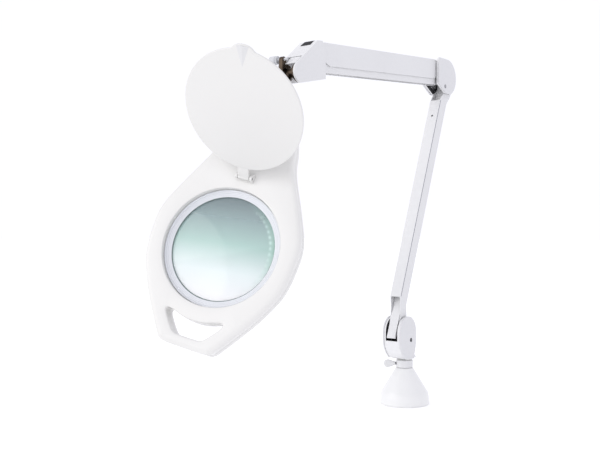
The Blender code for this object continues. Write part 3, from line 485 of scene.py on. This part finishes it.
def fill(work, loops):
    """Fill the flat region bounded by vertex loops, the first one outside."""
    edges = []
    for loop in loops:
        for index in range(len(loop)):
            pair = (loop[index], loop[(index + 1) % len(loop)])
            edges.append(work.edges.get(pair) or work.edges.new(pair))
    bmesh.ops.triangle_fill(work, use_beauty=True, use_dissolve=False, edges=edges)


def smooth_loop(points, steps):
    """Catmull-Rom curve through a closed loop of points."""
    made = []
    total = len(points)
    for index in range(total):
        p0, p1, p2, p3 = (Vector(points[(index + k - 1) % total]) for k in range(4))
        for step in range(steps):
            t = step / steps
            made.append(0.5 * (2 * p1 + (p2 - p0) * t + (2 * p0 - 5 * p1 + 4 * p2 - p3) * t * t
                               + (3 * p1 - 3 * p2 + p3 - p0) * t ** 3))
    return made


def mirrored(side):
    """Smooth outline from the points of its right side."""
    return smooth_loop(side + [(-x, y) for x, y in reversed(side)], 6)


def inset(points, distance):
    """Move a closed loop inwards; the loop runs counterclockwise."""
    made = []
    total = len(points)
    for index in range(total):
        way = (points[(index + 1) % total] - points[index - 1]).normalized()
        made.append(points[index] + Vector((-way.y, way.x)) * distance)
    return made


def circle(centre, radius, count):
    return [Vector((centre[0] + radius * math.cos(2 * math.pi * k / count),
                    centre[1] + radius * math.sin(2 * math.pi * k / count)))
            for k in range(count)]


def quarter(steps):
    """Pairs running from (0, 1) to (1, 0) on a quarter circle."""
    return [(math.sin(math.pi / 2 * k / steps), math.cos(math.pi / 2 * k / steps))
            for k in range(steps + 1)]


def turned(profile, count):
    """A profile of (radius, height) turned about local Z."""
    work = bmesh.new()
    ring = [work.verts.new((r, 0, z)) for r, z in profile]
    edges = [work.edges.new(pair) for pair in zip(ring, ring[1:])]
    bmesh.ops.spin(work, geom=ring + edges, cent=(0, 0, 0), axis=(0, 0, 1),
                   angle=2 * math.pi, steps=count, use_duplicate=False)
    return work


def turned_across(profile, count):
    """A profile of (radius, reach) turned about local X."""
    work = turned(profile, count)
    bmesh.ops.rotate(work, cent=(0, 0, 0), matrix=Matrix.Rotation(math.pi / 2, 3, "Y"),
                     verts=work.verts)
    return work


def plate(outline, low, high, edge, steps=4):
    """Flat plate with both rims rounded."""
    work = bmesh.new()
    rings = []
    for out, up in quarter(steps):
        rings.append(loop_verts(work, inset(outline, edge * (1 - out)), low + edge * (1 - up)))
    for out, up in quarter(steps)[::-1]:
        rings.append(loop_verts(work, inset(outline, edge * (1 - out)), high - edge * (1 - up)))
    stack(work, rings)
    fill(work, [rings[0]])
    fill(work, [rings[-1]])
    return work


def dress(names, material, width, segments=2):
    """Keep CAD nodes: weld them, round their edges and give them a finish."""
    for name in names:
        node = nodes[name]
        mesh = node.data
        mesh.materials.clear()
        mesh.materials.append(material)
        mesh.polygons.foreach_set("use_smooth", [True] * len(mesh.polygons))
        for attribute in ("custom_normal", "sharp_edge", "sharp_face"):
            if attribute in mesh.attributes:
                mesh.attributes.remove(mesh.attributes[attribute])
        weld = node.modifiers.new("weld", "WELD")
        weld.merge_threshold = 0.00001
        bevel = node.modifiers.new("edges", "BEVEL")
        bevel.width = width * MM
        bevel.segments = segments
        bevel.limit_method = "ANGLE"
        bevel.angle_limit = math.radians(EDGE_ANGLE)
        bevel.harden_normals = True
        normals = node.modifiers.new("normals", "WEIGHTED_NORMAL")
        normals.weight = 50


# --------------------------------------------------------------------------- head

def rounded_opening(work, points, face, depth, radius, way):
    """Wall of an opening with a rounded edge; returns the loop that lies in the face."""
    top = loop_verts(work, points, face - way * radius)
    bridge(work, top, loop_verts(work, points, depth))
    loops = [top]
    for out, up in quarter(4)[1:]:
        loops.append(loop_verts(work, inset(points, -radius * (1 - up)),
                                face - way * radius * (1 - out)))
    stack(work, loops)
    return loops[-1]


def shell(name, node, face, way, rim, rise, opening, holes):
    """One half of the head: rounded rim, wall to the seam, lens opening, handle slot and holes."""
    seam = SEAM + way * SEAM_GAP
    work = bmesh.new()
    outline = mirrored(HEAD_SIDE)
    rings = [loop_verts(work, inset(outline, 0.35), seam),
             loop_verts(work, outline, seam + way * 0.4),
             loop_verts(work, outline, face - way * rise)]
    for out, up in quarter(7)[1:]:
        rings.append(loop_verts(work, inset(outline, rim * (1 - up)),
                                face - way * rise * (1 - out)))
    stack(work, rings)
    loops = [rings[-1],
             rounded_opening(work, circle((0, 0), opening, 144), face, seam, 1.3, way),
             rounded_opening(work, mirrored(HANDLE_SLOT_SIDE), face, seam, 1.8, way)]
    for x, y, radius, soft in holes:
        loops.append(rounded_opening(work, circle((x, y), radius, 32), face, seam, soft, way))
    fill(work, loops)
    new_piece(name, work, HEAD, head_plastic, "head", node, 50.0)


def lens_disc():
    """Glass bowed equally on both sides, with its edge broken."""
    bow = (LENS_RADIUS ** 2 + LENS_SAG ** 2) / (2 * LENS_SAG)
    steps = 24
    top = []
    for index in range(steps + 1):
        r = (LENS_RADIUS - 0.4) * index / steps
        top.append((r, math.sqrt(bow ** 2 - r ** 2) - bow + LENS_SAG + LENS_RIM + LENS_MIDDLE))
    bottom = [(r, 2 * LENS_MIDDLE - z) for r, z in reversed(top)]
    edge = [(LENS_RADIUS, LENS_MIDDLE + LENS_RIM - 0.3), (LENS_RADIUS, LENS_MIDDLE - LENS_RIM + 0.3)]
    new_piece("lens_biconvex", turned(top + edge + bottom, 128), HEAD, glass, "head", "lens", 50.0)


def lens_ring():
    """Clear clamp ring: shallow steps up from the glass, then a rolled outer lip."""
    profile = [(RING_IN, RING_FOOT), (RING_IN, 0.0), (60.5, 0.35), (61.0, 0.5)]
    for index in range(5):
        start = 61.2 + index * 0.95
        height = 0.5 + index * 0.22
        profile += [(start, height), (start + 0.15, height + 0.22), (start + 0.8, height + 0.24)]
    profile += [(66.2, 1.7), (66.6, 2.7), (66.9, 3.1), (67.4, 3.2), (67.9, 3.1), (RING_OUT, 2.7),
                (RING_OUT, RING_FOOT), (RING_IN, RING_FOOT)]
    new_piece("lens_ring_clear", turned(profile, 144), HEAD, clear, "head", "lens_bezel")


def lens_gap_shade():
    """Painted shade: a dark grey-green ring for the shadow in the gaps at the edge of the glass, set
    slightly off centre in its ring.
    """
    work = bmesh.new()
    outer = circle((0, 0), 60.3, 144)
    inner = circle((0.33, 0.33), 59.7, 144)
    rings = [loop_verts(work, outer, -0.7), loop_verts(work, outer, 0.1),
             loop_verts(work, inner, -0.1), loop_verts(work, inner, -0.7)]
    stack(work, rings + [rings[0]])
    new_piece("lens_gap_painted_shade_ring", work, HEAD, gap_painted_shade_green, "head", None, 60.0)


def head_pieces():
    shell("head_face_shell", "head_upper_casing", FACE, 1, 6.5, 4.5, FACE_OPENING, [SWITCH_HOLE])
    shell("head_back_shell", "head_lower_casing", BACK, -1, 4.5, 4.5, BACK_OPENING, CASE_SCREWS)
    lens_disc()
    lens_ring()


# ---------------------------------------------------------------------------- lid

def lid_outline():
    """Circle with one finger lip on the side away from the hinge."""
    points = []
    for point in circle((0, 0), LID_RADIUS, 240):
        lip = 0.0
        if point.y < 0 and abs(point.x) < LID_LIP_HALF:
            lip = LID_LIP_REACH * (1 - (abs(point.x) / LID_LIP_HALF) ** 2.5)
        points.append(point + point.normalized() * lip + Vector((0, LID_CENTRE)))
    return points


def lip_crease():
    """Low pinched ridge that runs out of the finger lip onto the disc."""
    work = bmesh.new()
    tip = LID_CENTRE - LID_RADIUS - 4.6
    corners = [(-7.5, tip + 1.2, -2.85), (0.0, tip, -4.3), (7.5, tip + 1.2, -2.85),
               (0.0, tip + 25.0, -2.85), (0.0, tip + 0.6, -1.5)]
    left, crest, right, inner, under = [work.verts.new(point) for point in corners]
    for face in ((left, crest, inner), (crest, right, inner), (left, under, crest),
                 (crest, under, right), (left, inner, under), (inner, right, under)):
        work.faces.new(face)
    return work


def lid_pieces():
    """Round lid with a rolled edge and finger lip, a pinched crease, hinge tongue and barrel."""
    new_piece("lid_disc", plate(lid_outline(), LID_LOW, LID_HIGH, 1.2), LID, lid_plastic, "lid",
              "lid", 55.0)
    # the crease takes the darker plastic, painted shade for its V-notch
    new_piece("lid_lip_crease", lip_crease(), LID, crease_painted_shade, "lid", None, 20.0)
    tongue = vectors((-6.7, -16.0), (6.7, -16.0), (6.7, -0.5), (-6.7, -0.5))
    new_piece("lid_tongue", plate(tongue, -2.7, 0.3, 0.6), LID, lid_plastic, "lid", None, 40.0)
    barrel = [(1.5, -6.9), (2.7, -6.9), (3.0, -6.6), (3.0, 6.6), (2.7, 6.9), (1.5, 6.9),
              (1.5, -6.9)]
    new_piece("lid_barrel", turned_across(barrel, 40), LID, lid_plastic, "lid")


# ------------------------------------------------------------------------ springs

def coil(name, body, node, near, far, pivot):
    """Extension spring along an arm: closed coils and a round hook at each end."""
    way = (place_of(far) - place_of(near)).normalized()
    across = way.cross(Vector((0, 1, 0))).normalized()
    origin = place_of(pivot)
    offsets = [vert.co - origin for vert in nodes[node].data.vertices]
    first = min(offset.dot(way) for offset in offsets)
    last = max(offset.dot(way) for offset in offsets)
    line = origin + across * sum(offset.dot(across) for offset in offsets) / len(offsets)
    wire, radius, hook, bend = (size * MM for size in
                                (SPRING_WIRE, SPRING_RADIUS, SPRING_HOOK, SPRING_BEND))

    sweep = [math.pi * (0.5 + 1.25 * k / 8) for k in range(9)]
    points = [line + way * (first + wire + bend * (1 - math.sin(angle)))
              + across * bend * math.cos(angle) for angle in sweep[2:]]
    steps = 14
    total = SPRING_TURNS * steps
    for index in range(total + 1):
        angle = 2 * math.pi * index / steps
        reach = first + hook + (last - first - 2 * hook) * index / total
        points.append(line + way * reach + across * radius * math.cos(angle)
                      + Vector((0, 1, 0)) * radius * math.sin(angle))
    points += [line + way * (last - wire - bend * (1 + math.cos(angle)))
               + across * bend * math.sin(angle) for angle in sweep]

    curve = bpy.data.curves.new(name, "CURVE")
    curve.dimensions = "3D"
    curve.bevel_depth = wire
    curve.bevel_resolution = 2
    curve.use_fill_caps = True
    spline = curve.splines.new("POLY")
    spline.points.add(len(points) - 1)
    for point, at in zip(spline.points, points):
        point.co = (*at, 1.0)
    curve.materials.append(spring_steel)
    add_object(name, curve, body, node)


# ------------------------------------------------- knuckle, knob, shoulder and arm

def knuckle_pieces():
    """Two flanks and a thin core on the nose pin, the clamp ear, and the stem."""
    matrix = crosswise("nose_tilt")
    side = [(3.3, -10.6), (10.5, -10.6), (11.0, -10.1), (11.0, -7.7), (10.5, -7.2),
            (6.2, -7.0), (5.8, -6.6)]
    profile = side + [(r, -z) for r, z in reversed(side)] + side[:1]
    new_piece("knuckle_flanks", turned(profile, 72), matrix, dark_metal, "knuckle", "knuckle")

    ear = vectors((3.2, 4.0), (11.0, 0.5), (12.2, 5.0), (12.0, 14.5))
    ear += [Vector((8.2 + 3.6 * math.cos(a), 15.3 + 3.6 * math.sin(a)))
            for a in (math.radians(10 + 20 * k) for k in range(9))]
    ear.append(Vector((4.0, 12.0)))
    new_piece("knuckle_ear", plate(ear, 5.0, 10.6, 0.7), matrix, dark_metal, "knuckle", None, 35.0)

    way = -axis_of("neck_swivel")
    root = place_of("nose_tilt") + Vector((0, place_of("neck_swivel").y, 0)) + way * 5.0 * MM
    matrix = Matrix.Translation(root) @ way.to_track_quat("Z", "Y").to_matrix().to_4x4()
    stem = [(0.5, 0.0), (5.5, 0.0), (5.5, 9.3), (5.0, 9.8), (5.0, 10.2), (0.5, 10.2)]
    new_piece("knuckle_stem", turned(stem, 48), matrix, dark_metal, "knuckle")


def knob_piece():
    """Clamp knob with fine knurling, a groove and a domed end."""
    count = 96
    profile = [(1.7, 0.6, 0), (1.7, 14.3, 0), (4.4, 14.4, 0), (4.9, 14.8, 0), (4.9, 15.9, 0),
               (4.2, 16.2, 0), (4.2, 16.9, 0), (4.9, 17.2, 0), (5.2, 17.7, 1), (5.2, 21.0, 1),
               (5.2, 24.6, 1), (4.8, 25.3, 0), (3.6, 25.55, 0), (1.6, 25.1, 0), (0.5, 25.05, 0)]
    work = bmesh.new()
    rings = []
    for radius, height, knurled in profile:
        ring = circle((0, 0), radius, count)
        if knurled:
            ring = [point * (1 - 0.16 / radius) if index % 4 in (0, 3) else point
                    for index, point in enumerate(ring)]
        rings.append(loop_verts(work, ring, height))
    stack(work, rings)
    cap(work, rings)
    new_piece("tilt_knob_knurled", work, crosswise("tilt_knob_turn"), grey_plastic, "tilt_knob",
              "tilt_knob", 24.0)


def slope_plate(name, ends, sides, low, high, edge, steps, material):
    """Thin plate on the shoulder's sloping wall, from one end to the other."""
    start, end = (Vector((x, 0, z)) * MM for x, z in ends)
    way = (end - start).normalized()
    rise = Vector((-way.z, 0, way.x))
    length = (end - start).length / MM
    outline = vectors((0, sides[0]), (length, sides[0]), (length, sides[1]), (0, sides[1]))
    new_piece(name, plate(outline, low, high, edge, steps),
              basis(way, rise.cross(way), rise, start), material, "shoulder")


def shoulder_pieces():
    """Near-black plate in the slot at the top of the sloping wall, painted shade standing in for the
    dark inside the slot, and the wall's lower end.
    """
    # painted shade: near-black plate in the slot, for the shade inside it
    slope_plate("shoulder_slot_painted_shade", SHOULDER_SLOT_ENDS, SHOULDER_SLOT_SIDES,
                -1.2, 0.45, 0.1, 2, gland_rubber)
    slope_plate("shoulder_web_lip", SHOULDER_LIP_ENDS, SHOULDER_LIP_SIDES,
                -0.9, 0.0, 0.3, 3, white_coat)


def arm_gap_shade():
    """Painted shade along both front corners of the lower arm: dark strips for the shadow in the
    gaps where its cheeks meet the web.
    """
    start = place_of("lower_arm_lean")
    end = place_of("elbow_level")
    way = (end - start).normalized()
    front = Vector((way.z, 0, -way.x))
    matrix = basis(front, Vector((0, 1, 0)), way, start)
    length = (end - start).length / MM
    corners = ((LINE_FRONT, LINE_IN), (LINE_FRONT, LINE_OUT), (LINE_REAR, LINE_OUT),
               (LINE_REAR, LINE_IN))
    for name, side in (("near", 1), ("far", -1)):
        work = bmesh.new()
        rings = [loop_verts(work, [(x, side * y) for x, y in corners], height)
                 for height in (LINE_LOW, length - LINE_HIGH)]
        stack(work, rings)
        cap(work, rings)
        new_piece("lower_arm_painted_gap_shade_" + name, work, matrix, painted_gap_shade, "lower_arm")


def wing_pieces():
    """Clamp screw with one soft leaf-shaped grip."""
    axis = axis_of("wing_screw_turn")
    matrix = (Matrix.Translation((0, 0, place_of("wing_screw_turn").z))
              @ Matrix.Rotation(math.atan2(axis.y, axis.x), 4, "Z"))
    sections = [(13.4, 2.0, 2.4), (13.8, 2.9, 2.6), (16.0, 3.2, 2.3), (18.0, 4.1, 1.9),
                (20.5, 5.0, 1.6), (23.5, 5.45, 1.45), (26.2, 5.1, 1.35), (28.0, 3.9, 1.2),
                (28.8, 2.2, 0.8), (29.0, 0.6, 0.3)]
    work = bmesh.new()
    rings = []
    for reach, tall, thick in sections:
        rings.append([work.verts.new((reach, thick * math.cos(a), tall * math.sin(a)))
                      for a in (2 * math.pi * k / 32 for k in range(32))])
    stack(work, rings)
    cap(work, rings)
    new_piece("wing_screw_grip", work, matrix, white_plastic, "wing_screw", "wing_screw", 50.0)
    shank = [(0.2, 6.4), (1.6, 6.4), (2.0, 6.8), (2.0, 14.2), (0.2, 14.2)]
    new_piece("wing_screw_shank", turned_across(shank, 32), matrix, screw_steel, "wing_screw")


# -------------------------------------------------------------------------- build

def named(start, *parts):
    """CAD nodes whose name starts with one word and holds any of the others."""
    return [name for name in nodes
            if name.startswith(start) and any(part in name for part in parts)]


def dress_nodes():
    dress(["cone_cover"], cone_plastic, 0.5, 3)
    dress(["clamp_collar", "shoulder_housing"], white_coat, 0.7, 3)
    dress(["yoke_housing", "elbow_frame"], coat_painted_shade_inside, 0.5, 3)
    dress(["lower_outer_channel", "upper_outer_channel"], white_coat, 0.9, 3)
    dress(["lower_inner_channel", "upper_inner_channel"], white_coat, 0.35)
    dress(named("yoke_", "_cover_") + named("elbow_", "_cover_"), cover_plastic, 0.7, 3)
    dress(["lid_bracket"], head_plastic, 0.3)
    dress(["swivel_washer"], nylon, 0.2)
    dress(["base_flange", "swivel_pin", "head_tongue", "neck_pin"], steel, 0.3)
    dress(named("", "_stub_", "link_pin"), steel, 0.25)
    dress(["neck_clevis", "nose_pin"], dark_metal, 0.5, 3)
    dress(named("yoke_", "_screw_"), black_screw, 0.2)
    dress(named("elbow_", "_screw_"), bright_screw, 0.2)
    dress(named("case_", "_screw_") + ["lid_pin"], screw_steel, 0.2)
    dress(["cord_gland"], gland_rubber, 0.4)
    dress(["led_ring"], led_board, 0.15)
    dress(["light_diffuser"], opal, 0.3)
    dress(["driver_board"], green_board, 0.2)
    dress(["switch_body"], black_plastic, 0.4)
    dress(["power_switch"], grey_plastic, 0.4, 3)


head_pieces()
lid_pieces()
coil("lower_spring_coil", "lower_link", "lower_spring", "lower_arm_lean", "elbow_level",
     "lower_link_lean")
coil("upper_spring_coil", "upper_link", "upper_spring", "upper_arm_drop", "shoulder_level",
     "upper_link_drop")
knob_piece()
lens_gap_shade()
knuckle_pieces()
shoulder_pieces()
arm_gap_shade()
wing_pieces()
dress_nodes()


# --------------------------------------------------------------- stage and camera

def stage_floor():
    """White floor that glows a little, so that it meets the background without a line."""
    work = bmesh.new()
    bmesh.ops.create_grid(work, x_segments=8, y_segments=8, size=12.0)
    mesh = bpy.data.meshes.new("floor")
    work.to_mesh(mesh)
    work.free()
    made = Nodes("floor_white")
    tones = [(0.3, (0.955, 0.955, 0.955)), (0.7, (0.965, 0.965, 0.965))]
    made.feed("Base Color", made.ramp(made.noise(2.0), tones))
    made.fix("Roughness", 0.9)
    made.fix("Specular IOR Level", 0.0)
    made.fix("Emission Color", (1.0, 1.0, 1.0, 1.0))
    made.fix("Emission Strength", FLOOR_GLOW)
    mesh.materials.append(made.material)
    floor = bpy.data.objects.new("floor", mesh)
    bpy.context.scene.collection.objects.link(floor)
    floor.location.z = -0.0002


def lights():
    """Even white surroundings and one broad low sun in front of the lamp."""
    world = bpy.data.worlds.new("studio")
    bpy.context.scene.world = world
    world.use_nodes = True
    background = world.node_tree.nodes["Background"]
    background.inputs["Color"].default_value = SKY_COLOUR
    background.inputs["Strength"].default_value = SKY_STRENGTH
    light = bpy.data.lights.new("key", "SUN")
    light.energy = SUN_STRENGTH
    light.angle = math.radians(SUN_SPREAD)
    light.color = SUN_COLOUR
    made = bpy.data.objects.new("key", light)
    bpy.context.scene.collection.objects.link(made)
    made.location = SUN_PLACE
    made.rotation_euler = (-Vector(SUN_PLACE)).to_track_quat("-Z", "Y").to_euler()


def camera():
    data = bpy.data.cameras.new("camera")
    data.sensor_width = 36.0
    data.lens = FOCAL_LENGTH
    data.clip_start = 0.01
    data.clip_end = 60.0
    made = bpy.data.objects.new("camera", data)
    bpy.context.scene.collection.objects.link(made)
    heading = math.radians(HEADING)
    forward = Vector((-math.cos(heading), -math.sin(heading), 0.0))
    right = Vector((-math.sin(heading), math.cos(heading), 0.0))
    made.location = -forward * DISTANCE_M - right * LEFT_M + Vector((0, 0, HEIGHT_M))
    made.rotation_euler = forward.to_track_quat("-Z", "Y").to_euler()
    bpy.context.scene.camera = made


stage_floor()
lights()
camera()
bpy.context.scene.view_settings.view_transform = "Standard"
